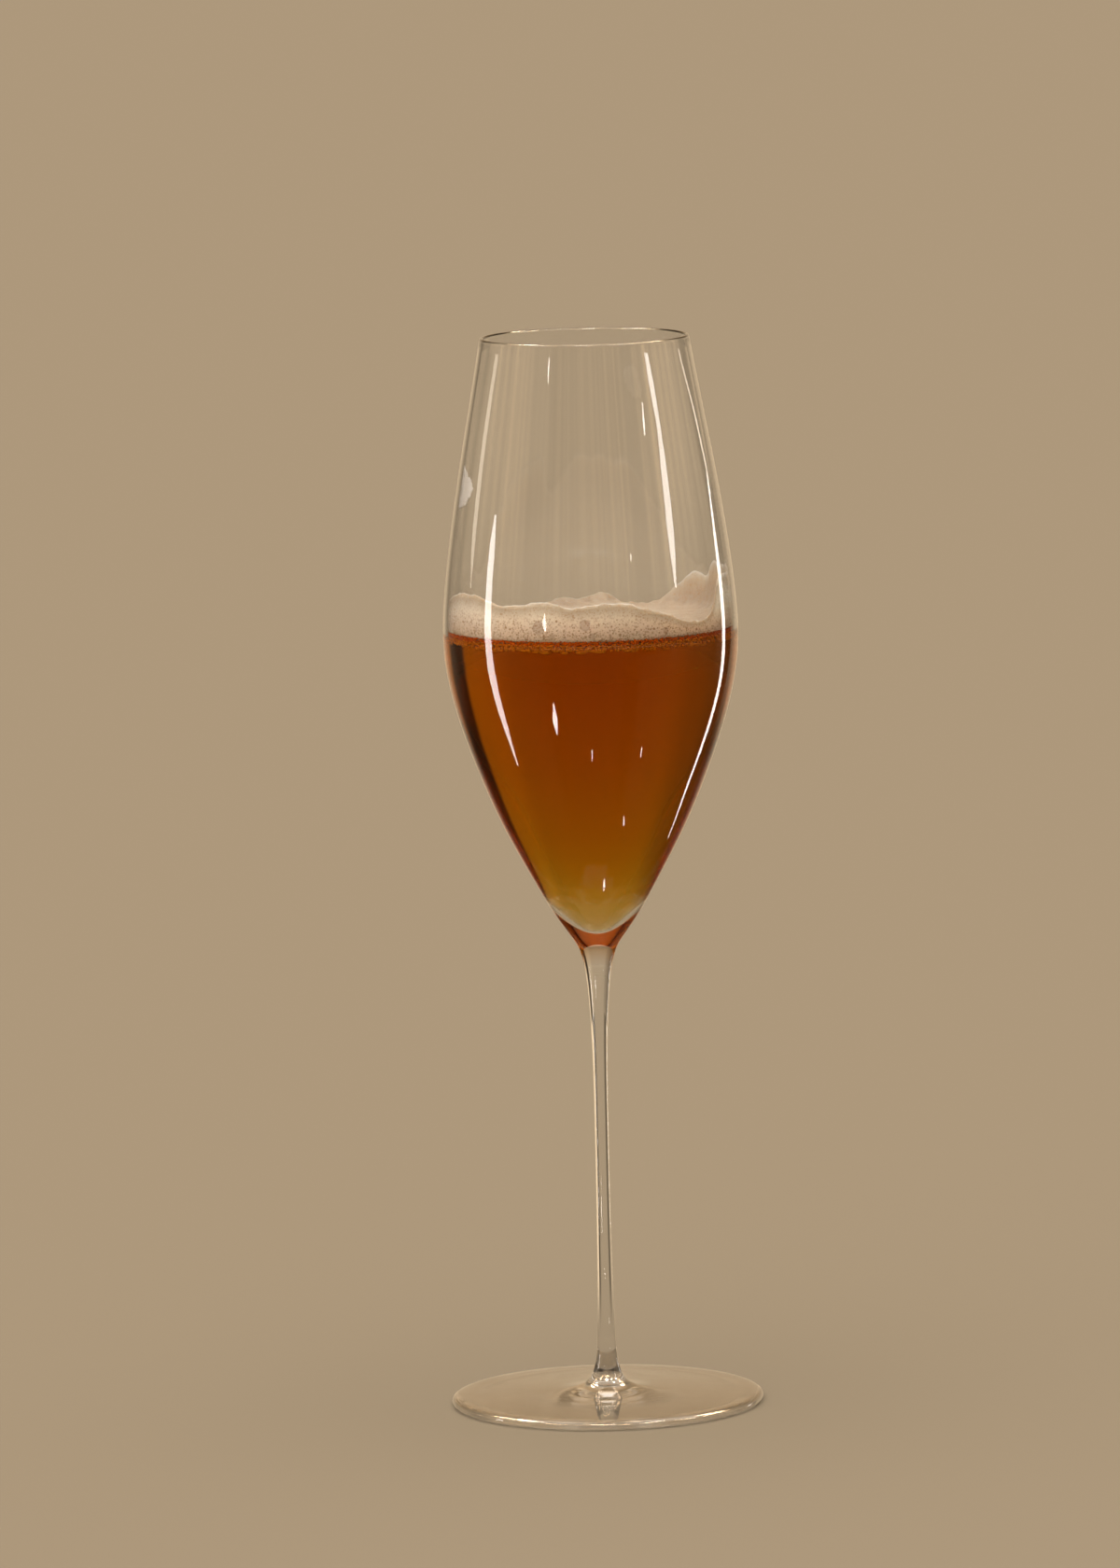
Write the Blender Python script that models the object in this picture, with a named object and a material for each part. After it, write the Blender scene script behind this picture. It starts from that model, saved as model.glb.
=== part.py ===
"""Tall stemmed wine glass, half filled with sparkling tea under an uneven head of foam.

Origin at the centre of the foot's resting plane, +Z up the stem, -Y to the front. Metres.
"""
import bpy
import bmesh
import numpy as np
from math import pi

MM = 0.001
SEG = 48                    # facets round the axis, the same for every node
HEIGHT = 248.0              # mm, table to lip
LIP_R = 24.0                # mm, outer radius at the lip
FOOT_R = 36.08              # mm
BELLY_R = 33.95             # mm, widest radius of the bowl
BELLY_Z = 180.0             # mm, height of the widest radius
LEVEL = 180.0               # mm, top of the tea
GAP = 0.3                   # mm, left between the drink and the glass
LIP_T = 0.90                # mm, wall at the lip
CUP_Z = 111.8               # mm, lowest point inside the bowl

# height and outer radius of the stem and bowl, mm
OUTER = [
    (16.0, 2.10), (24.0, 1.88), (34.0, 1.73), (50.0, 1.62), (68.0, 1.62), (82.0, 1.76),
    (92.0, 2.15), (99.0, 2.72), (103.3, 3.42), (106.0, 4.22), (107.6, 4.97), (109.2, 6.06),
    (111.0, 7.36), (112.6, 8.50), (114.4, 9.68), (119.0, 12.40), (127.0, 16.82),
    (137.0, 21.90), (147.0, 26.12), (156.0, 29.42), (164.0, 31.78),
    (172.0, 33.42), (BELLY_Z, BELLY_R), (189.0, 33.45), (200.0, 32.15), (212.0, 30.35),
    (225.0, 28.10), (238.0, 25.75), (HEIGHT, LIP_R),
]
# heights of the rings on the stem and bowl, mm
RINGS = [16, 21, 28, 38, 50, 62, 74, 83, 90, 95, 99, 102, 104.5, 106.5, 108, 109.5, 111,
         113, 115.5, 118.5, 122, 126, 130.5, 135, 140, 145, 150, 155, 160, 165, 170, 175,
         180, 185, 190, 196, 203, 211, 220, 230, 240, 247.45]
# foot, from under its middle out to the edge and in over the top to the stem, mm
FOOT = [
    (0.70, 0.0), (0.66, 9.0), (0.46, 20.0), (0.14, 28.5), (0.0, 31.5), (0.0, 34.7),
    (0.10, 35.35), (0.42, 35.90), (0.95, FOOT_R), (1.48, 35.88), (1.86, 35.2),
    (2.02, 33.5), (2.35, 25.0), (2.70, 16.0), (3.10, 10.0), (3.70, 6.9), (4.60, 5.0),
    (5.60, 4.10), (6.80, 3.40), (8.80, 2.78), (10.50, 2.44), (12.10, 2.28), (14.0, 2.18),
]
# thickness of the wall at heights up the bowl, both in mm
WALL = [(121, 2.6), (124, 2.2), (128, 1.8), (133, 1.5), (140, 1.3), (150, 1.1), (200, 1.0),
        (HEIGHT, LIP_T)]
# inside of the bowl below that, height and radius, mm
CUP = [(CUP_Z, 0.0), (CUP_Z + 0.16, 0.9), (CUP_Z + 0.6, 1.9), (CUP_Z + 1.55, 3.1),
       (CUP_Z + 2.9, 4.5), (CUP_Z + 4.7, 6.2), (CUP_Z + 6.7, 8.1)]

# foam against the wall: bearing in degrees (0 = front, 90 = +X) and top height above the tea, mm
FOAM_TOP = [
    (-180, 4.4), (-170, 4.4), (-162, 3.2), (-150, 2.4), (-135, 2.2), (-120, 2.6), (-106, 4.6),
    (-95, 7.6), (-86, 10.0), (-75, 11.0), (-60, 11.2), (-47, 10.2), (-35, 9.3), (-18, 10.1),
    (-6, 9.2), (7, 9.8), (19, 9.1), (28, 7.4), (38, 5.3), (50, 4.4), (57, 6.4), (63, 12.0),
    (72, 14.2), (90, 14.6), (108, 14.4), (116, 13.2), (121, 10.6), (126, 11.3), (136, 9.4),
    (143, 6.4), (151, 3.0), (160, 2.2), (168, 3.4), (175, 5.3),
]
FOAM_MID = 3.2              # mm, height of the head away from the wall
# foam left high on the wall: bearing in degrees and height, mm
PATCH = [(-80, 218.8), (-70, 217.2), (-63.5, 215.2), (-65.5, 212.4), (-74, 209.8),
         (-84, 210.6), (-92, 213.0), (-89, 216.8)]
PATCH_T = 0.5               # mm


def spline(points, at):
    """Natural cubic through the points (position, value), read at the given positions."""
    x, y = np.array(points, float).T
    n, h = len(x), np.diff(x)
    a, b = np.eye(n), np.zeros(n)
    for i in range(1, n - 1):
        a[i, i - 1:i + 2] = h[i - 1], 2 * (h[i - 1] + h[i]), h[i]
        b[i] = 6 * ((y[i + 1] - y[i]) / h[i] - (y[i] - y[i - 1]) / h[i - 1])
    m = np.linalg.solve(a, b)
    at = np.asarray(at, float)
    i = np.clip(np.searchsorted(x, at) - 1, 0, n - 2)
    u, v = x[i + 1] - at, at - x[i]
    return ((m[i] * u ** 3 + m[i + 1] * v ** 3) / (6 * h[i])
            + (y[i] / h[i] - m[i] * h[i] / 6) * u + (y[i + 1] / h[i] - m[i + 1] * h[i] / 6) * v)


def outer(z):
    return spline(OUTER, z)


def wall(z):
    return np.interp(z, *zip(*WALL))


def inside():
    """Inside of the bowl from its lowest point to just under the lip, (height, radius)."""
    z = np.array([r for r in RINGS if r > 120], float)
    slope = (outer(z + 0.01) - outer(z - 0.01)) / 0.02
    k = wall(z) / np.sqrt(1 + slope ** 2)
    return CUP + list(zip(z + k * slope, outer(z) - k))


def offset(line, d):
    """The open line (height, radius) moved d towards the axis side."""
    p = np.array(line, float)
    t = np.gradient(p, axis=0)
    t[0] = 0, 1
    t /= np.linalg.norm(t, axis=1)[:, None]
    q = p + d * np.column_stack([t[:, 1], -t[:, 0]])
    q[0, 1] = 0
    return [tuple(v) for v in q]


def bearing(phi, r, z):
    a = np.radians(phi)
    return r * np.sin(a) * MM, -r * np.cos(a) * MM, z * MM


def material(name, color, rough, transmission=0.0, ior=1.45):
    m = bpy.data.materials.new(name)
    m.use_nodes = True
    s = m.node_tree.nodes["Principled BSDF"]
    s.inputs["Base Color"].default_value = (*color, 1)
    s.inputs["Roughness"].default_value = rough
    s.inputs["Transmission Weight"].default_value = transmission
    s.inputs["IOR"].default_value = ior
    return m


def add(name, verts, faces, mat):
    mesh = bpy.data.meshes.new(name)
    bm = bmesh.new()
    vs = [bm.verts.new(v) for v in verts]
    for f in faces:
        bm.faces.new([vs[i] for i in f])
    bmesh.ops.recalc_face_normals(bm, faces=bm.faces[:])
    bmesh.ops.triangulate(bm, faces=bm.faces[:])
    bm.to_mesh(mesh)
    bm.free()
    mesh.materials.append(mat)
    ob = bpy.data.objects.new(name, mesh)
    bpy.context.scene.collection.objects.link(ob)
    return ob


def lathe(name, line, mat):
    """Closed solid from a line (height, radius) that starts and ends on the axis."""
    verts, rows, faces = [], [], []
    for z, r in line:
        if r < 1e-6:
            rows.append([len(verts)] * SEG)
            verts.append((0, 0, z * MM))
        else:
            rows.append(list(range(len(verts), len(verts) + SEG)))
            verts += [bearing(360 * i / SEG, r, z) for i in range(SEG)]
    for a, b in zip(rows, rows[1:]):
        for i in range(SEG):
            j = (i + 1) % SEG
            f = list(dict.fromkeys((a[i], a[j], b[j], b[i])))
            if len(f) > 2:
                faces.append(f)
    return add(name, verts, faces, mat)


for ob in list(bpy.data.objects):
    bpy.data.objects.remove(ob, do_unlink=True)

CLEAR = material("clear_glass", (1.0, 1.0, 1.0), 0.0, 1.0, 1.5)
AMBER = material("amber_tea", (0.72, 0.33, 0.05), 0.0, 1.0, 1.33)
CREAM = material("foam_cream", (0.80, 0.70, 0.55), 0.6)
CREAM_2 = material("foam_patch_cream", (0.78, 0.70, 0.60), 0.6)

# glass: foot, stem, outside of the bowl, rounded lip, inside of the bowl
INSIDE = inside()
lip = 0.5 * LIP_T
lip_line = [(HEIGHT - lip * (1 - np.sin(a)), LIP_R - lip * (1 - np.cos(a)))
            for a in (pi / 4, pi / 2, 3 * pi / 4)]
glass_line = (FOOT + [(z, float(outer(z))) for z in RINGS] + lip_line + INSIDE[::-1])
lathe("glass", glass_line, CLEAR)

# tea: a little clear of the wall, up to its level
tea_line = [p for p in offset(INSIDE, GAP) if p[0] < LEVEL - 1.5]
edge = float(np.interp(LEVEL, *zip(*INSIDE[len(CUP):]))) - GAP
lathe("tea", tea_line + [(LEVEL, edge), (LEVEL, 0.0)], AMBER)

# foam: one head that climbs the wall unevenly
wall_z, wall_r = zip(*INSIDE[len(CUP):])
ring = FOAM_TOP + [(180 + 360 / 1e9, FOAM_TOP[0][1])]
bearings = [360 * i / SEG for i in range(SEG)]
tops = [float(np.interp((p + 180) % 360 - 180, *zip(*ring))) for p in bearings]
base = LEVEL + GAP
verts, rows = [], []
for f in (0.0, 0.45, 0.8, 0.96):                    # outer face, from the tea up
    row = []
    for p, top in zip(bearings, tops):
        z = base + f * (top - GAP)
        row.append(len(verts))
        verts.append(bearing(p, float(np.interp(z, wall_z, wall_r)) - GAP, z))
    rows.append(row)
for into, f in ((0.5, 1.0), (1.3, 0.96), (2.3, 0.62), (3.8, 0.28), (7.0, 0.08), (13.0, 0.0), (22.0, 0.0)):
    row = []                                        # top face, from the wall in
    for p, top in zip(bearings, tops):
        mid = FOAM_MID + 0.5 * np.sin(np.radians(3 * p + 40)) + 0.35 * np.sin(np.radians(5 * p))
        mid = np.interp(into, [0, 13, 32.6], [mid, mid, FOAM_MID])
        z = base + mid - GAP + f * (top - mid)
        r = float(np.interp(z, wall_z, wall_r)) - GAP - into
        row.append(len(verts))
        verts.append(bearing(p, r, z))
    rows.append(row)
faces = [[a[i], a[(i + 1) % SEG], b[(i + 1) % SEG], b[i]]
         for a, b in zip(rows, rows[1:]) for i in range(SEG)]
bottom, top_mid = len(verts), len(verts) + 1
verts += [(0, 0, base * MM), (0, 0, (LEVEL + FOAM_MID) * MM)]
for i in range(SEG):
    j = (i + 1) % SEG
    faces += [[bottom, rows[0][j], rows[0][i]], [top_mid, rows[-1][i], rows[-1][j]]]
add("foam", verts, faces, CREAM)

# foam_patch: a thin flake of foam left on the inside of the wall
patch = np.array(PATCH, float)
mid = patch.mean(axis=0)
turns = [mid + k * (patch - mid) for k in (0.5, 0.85, 1.0)]


def skin(points, depth):
    return [bearing(p, float(np.interp(z, wall_z, wall_r)) - GAP - depth, z) for p, z in points]


n = len(patch)
verts = skin([mid], 0.0) + skin(turns[0], 0.0) + skin(turns[1], 0.0) + skin(turns[2], 0.1)
back = len(verts)
verts += (skin([mid], PATCH_T) + skin(turns[0], PATCH_T) + skin(turns[1], PATCH_T * 0.8)
          + skin(turns[2], 0.25))
faces = []
for s in (0, back):
    for i in range(n):
        j = (i + 1) % n
        faces.append([s, s + 1 + i, s + 1 + j])
        for k in (0, 1):
            a, b = s + 1 + k * n, s + 1 + (k + 1) * n
            faces.append([a + i, b + i, b + j, a + j])
for i in range(n):
    j, a = (i + 1) % n, 1 + 2 * n
    faces.append([a + i, a + j, back + a + j, back + a + i])
add("foam_patch", verts, faces, CREAM_2)
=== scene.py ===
"""Looks for the glass of sparkling tea: fine glass, tea with bubbles, foam, light and camera."""
import math

import bmesh
import bpy
import numpy as np
from mathutils import Matrix, Vector
from mathutils.kdtree import KDTree


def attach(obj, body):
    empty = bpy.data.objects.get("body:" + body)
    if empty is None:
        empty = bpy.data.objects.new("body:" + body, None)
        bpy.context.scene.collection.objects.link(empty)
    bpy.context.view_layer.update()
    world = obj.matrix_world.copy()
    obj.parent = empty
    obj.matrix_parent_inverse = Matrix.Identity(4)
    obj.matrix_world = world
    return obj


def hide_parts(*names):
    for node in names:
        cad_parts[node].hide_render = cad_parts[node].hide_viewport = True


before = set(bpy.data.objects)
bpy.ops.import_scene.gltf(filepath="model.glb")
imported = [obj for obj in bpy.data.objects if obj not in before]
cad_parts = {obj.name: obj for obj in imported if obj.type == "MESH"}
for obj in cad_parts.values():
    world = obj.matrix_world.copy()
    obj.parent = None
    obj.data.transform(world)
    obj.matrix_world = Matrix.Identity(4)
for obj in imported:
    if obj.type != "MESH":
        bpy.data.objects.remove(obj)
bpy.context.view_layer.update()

MM = 0.001
# ---------------------------------------------------------------- sizes, as in the CAD, mm
HEIGHT, LIP_R, LIP_T, FOOT_R = 248.0, 24.0, 0.90, 36.08
CUP_Z = 111.8               # lowest point inside the bowl
BELLY_R, BELLY_Z, LEVEL = 33.95, 180.0, 180.0
# (height, outer radius) of stem and bowl
OUTER = [
    (16.0, 2.10), (24.0, 1.88), (34.0, 1.73), (50.0, 1.62), (68.0, 1.62), (82.0, 1.76),
    (92.0, 2.15), (99.0, 2.72), (103.3, 3.42), (106.0, 4.22), (107.6, 4.97), (109.2, 6.06),
    (111.0, 7.36), (112.6, 8.50), (114.4, 9.68), (119.0, 12.40), (127.0, 16.82),
    (137.0, 21.90), (147.0, 26.12), (156.0, 29.42), (164.0, 31.78),
    (172.0, 33.42), (BELLY_Z, BELLY_R), (189.0, 33.45), (200.0, 32.15), (212.0, 30.35),
    (225.0, 28.10), (238.0, 25.75), (HEIGHT, LIP_R),
]
# (height, radius) of the foot, from the middle of its underside round its edge and up to the stem
FOOT = [
    (0.70, 0.0), (0.66, 9.0), (0.46, 20.0), (0.14, 28.5), (0.0, 31.5), (0.0, 34.7),
    (0.10, 35.35), (0.42, 35.90), (0.95, FOOT_R), (1.48, 35.88), (1.86, 35.2),
    (2.02, 33.5), (2.35, 25.0), (2.70, 16.0), (3.10, 10.0), (3.70, 6.9), (4.60, 5.0),
    (5.60, 4.10), (6.80, 3.40), (8.80, 2.78), (10.50, 2.44), (12.10, 2.28), (14.0, 2.18),
]
# (height, radius) inside, at the bottom of the bowl
CUP = [(CUP_Z, 0.0), (CUP_Z + 0.16, 0.9), (CUP_Z + 0.6, 1.9), (CUP_Z + 1.55, 3.1),
       (CUP_Z + 2.9, 4.5), (CUP_Z + 4.7, 6.2), (CUP_Z + 6.7, 8.1)]
WALL_Z = [121, 124, 128, 133, 140, 150, 200, HEIGHT]
WALL_T = [2.6, 2.2, 1.8, 1.5, 1.3, 1.1, 1.0, LIP_T]
# (bearing in degrees, height over the tea) of the foam's upper edge on the wall
FOAM_TOP = [
    (-180, 4.4), (-170, 4.4), (-162, 3.2), (-150, 2.4), (-135, 2.2), (-120, 2.6), (-106, 4.6),
    (-95, 6.4), (-86, 7.6), (-75, 9.2), (-66, 10.9), (-60, 11.3), (-47, 10.2), (-35, 9.3),
    (-18, 10.1), (-6, 9.2), (7, 9.8), (19, 9.1), (28, 7.4), (38, 5.3), (50, 4.4), (57, 6.4),
    (63, 12.0), (72, 14.2), (90, 14.6), (108, 14.4), (116, 13.2), (121, 10.6), (126, 11.3),
    (136, 9.4), (143, 6.4), (151, 3.0), (160, 2.2), (168, 3.4), (175, 5.3),
]
FOAM_MID = 3.2              # the foam's height over the tea in its middle
# (bearing in degrees, height) round the flake of foam high on the wall
PATCH = [(-80, 218.8), (-70, 217.2), (-63.5, 215.2), (-65.5, 212.4), (-74, 209.8),
         (-84, 210.6), (-92, 213.0), (-89, 216.8)]
GLASS_SIDES, TEA_SIDES, FOAM_SIDES = 180, 160, 900


# ---------------------------------------------------------------- curves
def spline(points, at):
    """Natural cubic through the points (position, value), read at the given positions."""
    x, y = np.array(points, float).T
    n, h = len(x), np.diff(x)
    a, b = np.eye(n), np.zeros(n)
    for i in range(1, n - 1):
        a[i, i - 1:i + 2] = h[i - 1], 2 * (h[i - 1] + h[i]), h[i]
        b[i] = 6 * ((y[i + 1] - y[i]) / h[i] - (y[i] - y[i - 1]) / h[i - 1])
    m = np.linalg.solve(a, b)
    at = np.asarray(at, float)
    i = np.clip(np.searchsorted(x, at) - 1, 0, n - 2)
    u, v = x[i + 1] - at, at - x[i]
    return ((m[i] * u ** 3 + m[i + 1] * v ** 3) / (6 * h[i])
            + (y[i] / h[i] - m[i] * h[i] / 6) * u + (y[i + 1] / h[i] - m[i + 1] * h[i] / 6) * v)


def smoothstep(a, b, x):
    t = np.clip((x - a) / (b - a), 0, 1)
    return t * t * (3 - 2 * t)


def outer(z):
    return spline(OUTER, z)


def wall(z):
    return np.interp(z, WALL_Z, WALL_T)


def through(points, step, before=None, after=None):
    """Smooth curve (centripetal Catmull-Rom) through points in the plane, about step apart."""
    p = [np.array(q, float) for q in points]
    a = [np.array(before, float) if before is not None else 2 * p[0] - p[1]]
    b = [np.array(after, float) if after is not None else 2 * p[-1] - p[-2]]
    q, out = a + p + b, []
    for i in range(1, len(q) - 2):
        p0, p1, p2, p3 = q[i - 1:i + 3]
        t = np.cumsum([0] + [max(np.linalg.norm(w - v), 1e-9) ** 0.5
                             for v, w in ((p0, p1), (p1, p2), (p2, p3))])
        k = max(2, int(math.ceil(np.linalg.norm(p2 - p1) / step)))
        for s in np.linspace(t[1], t[2], k, endpoint=False):
            def mix(u, v, i0, i1):
                return ((t[i1] - s) * u + (s - t[i0]) * v) / (t[i1] - t[i0])
            a1, a2, a3 = mix(p0, p1, 0, 1), mix(p1, p2, 1, 2), mix(p2, p3, 2, 3)
            b1, b2 = mix(a1, a2, 0, 2), mix(a2, a3, 1, 3)
            out.append(mix(b1, b2, 1, 2))
    out.append(p[-1])
    return [tuple(v) for v in out]


def inner_line(step):
    """Inside of the bowl, from its lowest point to just under the lip, (height, radius)."""
    z = np.arange(121.6, HEIGHT - 0.6, step)
    z = np.append(z, HEIGHT - 0.55)
    slope = (outer(z + 0.01) - outer(z - 0.01)) / 0.02
    k = wall(z) / np.sqrt(1 + slope ** 2)
    even = list(zip(z + k * slope, outer(z) - k))
    cup = through(CUP + even[:1], 0.35, before=(CUP[1][0], -CUP[1][1]), after=even[2])
    return cup[:-1] + even


def offset(line, d):
    """The open line (height, radius), which starts on the axis, moved d to its inner side."""
    p = np.array(line, float)
    t = np.gradient(p, axis=0)
    t[0] = 0, 1
    t /= np.linalg.norm(t, axis=1)[:, None]
    q = p + d * np.column_stack([t[:, 1], -t[:, 0]])
    q[0, 1] = 0
    return q


def bearing(phi, r, z):
    """Points at bearings phi (radians, 0 = front, towards +X), radius r and height z, in metres."""
    return np.stack(np.broadcast_arrays(r * np.sin(phi) * MM, -r * np.cos(phi) * MM, z * MM), -1)


# ---------------------------------------------------------------- meshes
def mesh_object(name, verts, faces, smooth=True):
    me = bpy.data.meshes.new(name)
    me.from_pydata([tuple(v) for v in verts], [], faces)
    me.polygons.foreach_set("use_smooth", [smooth] * len(me.polygons))
    me.update()
    ob = bpy.data.objects.new(name, me)
    bpy.context.scene.collection.objects.link(ob)
    return ob


def point_values(ob, name, values):
    """Stores a number for each point of the mesh, for its material."""
    at = ob.data.attributes.new(name, "FLOAT", "POINT")
    at.data.foreach_set("value", np.concatenate(values).astype(np.float32))


def ring_faces(first, second, n, flip=False):
    """Quads between two closed rows of n vertices that start at the given indices."""
    i = np.arange(n)
    j = (i + 1) % n
    q = np.stack([first + i, first + j, second + j, second + i], -1)
    return (q[:, ::-1] if flip else q).tolist()


def lathe(line, n):
    """Vertices and faces of the closed solid turned from a line that runs from axis to axis,
    up its outer side."""
    phi = np.arange(n) * (2 * math.pi / n)
    verts, faces, last = [], [], None
    count = 0
    for z, r in line:
        pole = r < 1e-6
        verts.append(bearing(np.zeros(1), 0.0, z) if pole else bearing(phi, r, z))
        row = (count, pole)
        count += 1 if pole else n
        if last is not None:
            (a, pole_a), (b, pole_b) = last, row
            if pole_a and not pole_b:
                faces += [[a, b + (i + 1) % n, b + i] for i in range(n)]
            elif pole_b and not pole_a:
                faces += [[a + i, a + (i + 1) % n, b] for i in range(n)]
            elif not pole_a:
                faces += ring_faces(a, b, n)
        last = row
    return np.concatenate(verts), faces


def icosphere(times):
    bm = bmesh.new()
    bmesh.ops.create_icosphere(bm, subdivisions=times, radius=1.0)
    v = np.array([p.co[:] for p in bm.verts])
    f = [[p.index for p in q.verts] for q in bm.faces]
    bm.free()
    return v, f


BALL, BALL_FACES = icosphere(2)


# ---------------------------------------------------------------- shader nodes
def material(name, **values):
    m = bpy.data.materials.new(name)
    m.use_nodes = True
    s = m.node_tree.nodes["Principled BSDF"]
    for key, value in values.items():
        s.inputs[key.replace("_", " ")].default_value = value
    return m, m.node_tree, s


def node(tree, kind, **values):
    n = tree.nodes.new(kind)
    for key, value in values.items():
        if hasattr(n, key):
            setattr(n, key, value)
        else:
            n.inputs[key.replace("_", " ")].default_value = value
    return n


def math_node(tree, operation, *values, clamp=False):
    """A Math node fed by sockets or numbers; returns its output."""
    n = node(tree, "ShaderNodeMath", operation=operation, use_clamp=clamp)
    for socket, value in zip(n.inputs, values):
        if isinstance(value, (int, float)):
            socket.default_value = value
        else:
            tree.links.new(value, socket)
    return n.outputs["Value"]


def map_range(tree, value, from_min, from_max, to_min=0.0, to_max=1.0):
    """The value carried smoothly from one range to another; returns its output."""
    n = node(tree, "ShaderNodeMapRange", interpolation_type="SMOOTHSTEP")
    for key, number in (("From Min", from_min), ("From Max", from_max),
                        ("To Min", to_min), ("To Max", to_max)):
        n.inputs[key].default_value = number
    tree.links.new(value, n.inputs["Value"])
    return n.outputs["Result"]


def mix_color(tree, factor, a, b):
    """A colour between a and b, each a colour or a socket; returns its output."""
    n = node(tree, "ShaderNodeMix", data_type="RGBA")
    tree.links.new(factor, n.inputs["Factor"])
    for key, value in (("A", a), ("B", b)):
        if isinstance(value, tuple):
            n.inputs[key].default_value = (*value, 1)
        else:
            tree.links.new(value, n.inputs[key])
    return n.outputs["Result"]


def color_ramp(tree, value, stops, interpolation="LINEAR"):
    """A colour by the value, between stops of (position, colour); returns its output."""
    n = node(tree, "ShaderNodeValToRGB")
    n.color_ramp.interpolation = interpolation
    slots = n.color_ramp.elements
    while len(slots) < len(stops):
        slots.new(0.5)
    for slot, (position, color) in zip(slots, stops):
        slot.position, slot.color = position, (*color, 1)
    tree.links.new(value, n.inputs["Fac"])
    return n.outputs["Color"]


def scaled(tree, color, amount):
    """A colour times the value of a socket; returns its output."""
    n = node(tree, "ShaderNodeVectorMath", operation="SCALE")
    n.inputs[0].default_value = color
    tree.links.new(amount, n.inputs["Scale"])
    return n.outputs["Vector"]


def added(tree, a, b):
    """The sum of two colours; returns its output."""
    n = node(tree, "ShaderNodeVectorMath", operation="ADD")
    tree.links.new(a, n.inputs[0])
    tree.links.new(b, n.inputs[1])
    return n.outputs["Vector"]


def attribute(tree, name):
    return node(tree, "ShaderNodeAttribute", attribute_name=name).outputs["Fac"]


def object_place(tree):
    return node(tree, "ShaderNodeTexCoord").outputs["Object"]


def bumped(tree, shader, height, strength, distance, invert=False):
    """Feeds a height to the shader's normal."""
    bump = node(tree, "ShaderNodeBump", Strength=strength, Distance=distance, invert=invert)
    tree.links.new(height, bump.inputs["Height"])
    tree.links.new(bump.outputs["Normal"], shader.inputs["Normal"])


# ---------------------------------------------------------------- materials
# clear glass, with the faint upright striae of hand-blown glass
clear, tree, shader = material("clear_glass", Base_Color=(1, 1, 1, 1), Roughness=0.0,
                               Transmission_Weight=1.0, IOR=1.5)
stretch = node(tree, "ShaderNodeMapping")
stretch.inputs["Scale"].default_value = (1, 1, 0.035)
striae = node(tree, "ShaderNodeTexNoise", Scale=170.0, Detail=2.0)
tree.links.new(object_place(tree), stretch.inputs["Vector"])
tree.links.new(stretch.outputs["Vector"], striae.inputs["Vector"])
bumped(tree, shader, striae.outputs["Fac"], 0.025, 0.0004)

# amber tea: clear liquid that takes its colour from its depth
amber, tree, shader = material("amber_tea", Base_Color=(1, 1, 1, 1), Roughness=0.0,
                               Transmission_Weight=1.0, IOR=1.33)
depth = node(tree, "ShaderNodeVolumeAbsorption", Density=168.0)
depth.inputs["Color"].default_value = (0.929, 0.777, 0.0, 1)
tree.links.new(depth.outputs["Volume"], tree.nodes["Material Output"].inputs["Volume"])

# sizes of the bubbles painted on the foam: (mm apart, spot's core and rim as shares of that, how
# strong, how rare)
SPOTS = ((0.50, 0.15, 0.60, 0.7, 0.6), (0.95, 0.10, 0.45, 0.9, 2.2))
SPOT_BASE, SPOT_WET = 0.68, 1.9     # how much shows where the foam is dry, and more where it is wet


def bubble_spots(tree, shader, tone, spot_brown_and_shade, wetness, relief):
    """The tone with round spots of bubbles, darker in their middles and fewer where it is dry:
    partly the tea's brown, partly painted shade in the hollows that the bump sinks there.
    """
    place = object_place(tree)
    total = None
    for size, core, rim, strength, rare in SPOTS:
        cells = node(tree, "ShaderNodeTexVoronoi", Scale=1.0 / (size * MM))
        tree.links.new(place, cells.inputs["Vector"])
        spot = map_range(tree, cells.outputs["Distance"], core, rim, 1.0, 0.0)
        pick = node(tree, "ShaderNodeSeparateColor")
        tree.links.new(cells.outputs["Color"], pick.inputs["Color"])
        chance = math_node(tree, "POWER", pick.outputs["Red"], rare)
        one = math_node(tree, "MULTIPLY", spot, chance)
        one = math_node(tree, "MULTIPLY", one, strength)
        total = one if total is None else math_node(tree, "MAXIMUM", total, one)
    much = math_node(tree, "MULTIPLY_ADD", wetness, SPOT_WET, SPOT_BASE)
    total = math_node(tree, "MULTIPLY", total, much, clamp=True)
    bumped(tree, shader, total, 0.6, relief, invert=True)
    return mix_color(tree, total, tone, spot_brown_and_shade)


# foam: pale, browner near the tea ("wet"), darker between bubbles ("edge"), which is partly the tea
# held there and partly painted shade, and darker on its top and upper wall ("top"), which is painted
# shade; light comes deeper through its underside ("under")
cream, tree, shader = material("foam_cream", Roughness=0.35, IOR=1.33, Subsurface_Weight=1.0)
shader.inputs["Subsurface Radius"].default_value = (1.0, 0.95, 0.85)
tree.links.new(math_node(tree, "MULTIPLY_ADD", attribute(tree, "under"), 0.009, 0.005),
               shader.inputs["Subsurface Scale"])
wetness = attribute(tree, "wet")
tone = mix_color(tree, wetness, (0.97, 0.905, 0.785), (0.78, 0.47, 0.22))
# darker between and in bubbles, low down and at the upper rim ("edge"): partly the tea's brown,
# partly painted shade
tone = mix_color(tree, attribute(tree, "edge"), tone, (0.20, 0.07, 0.015))
# painted shade: the foam darker on its top and towards the wall's upper edge ("top")
tone = mix_color(tree, attribute(tree, "top"), tone, (0.38, 0.29, 0.21))
tree.links.new(bubble_spots(tree, shader, tone, (0.40, 0.24, 0.12), wetness, 0.0001),
               shader.inputs["Base Color"])

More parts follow.
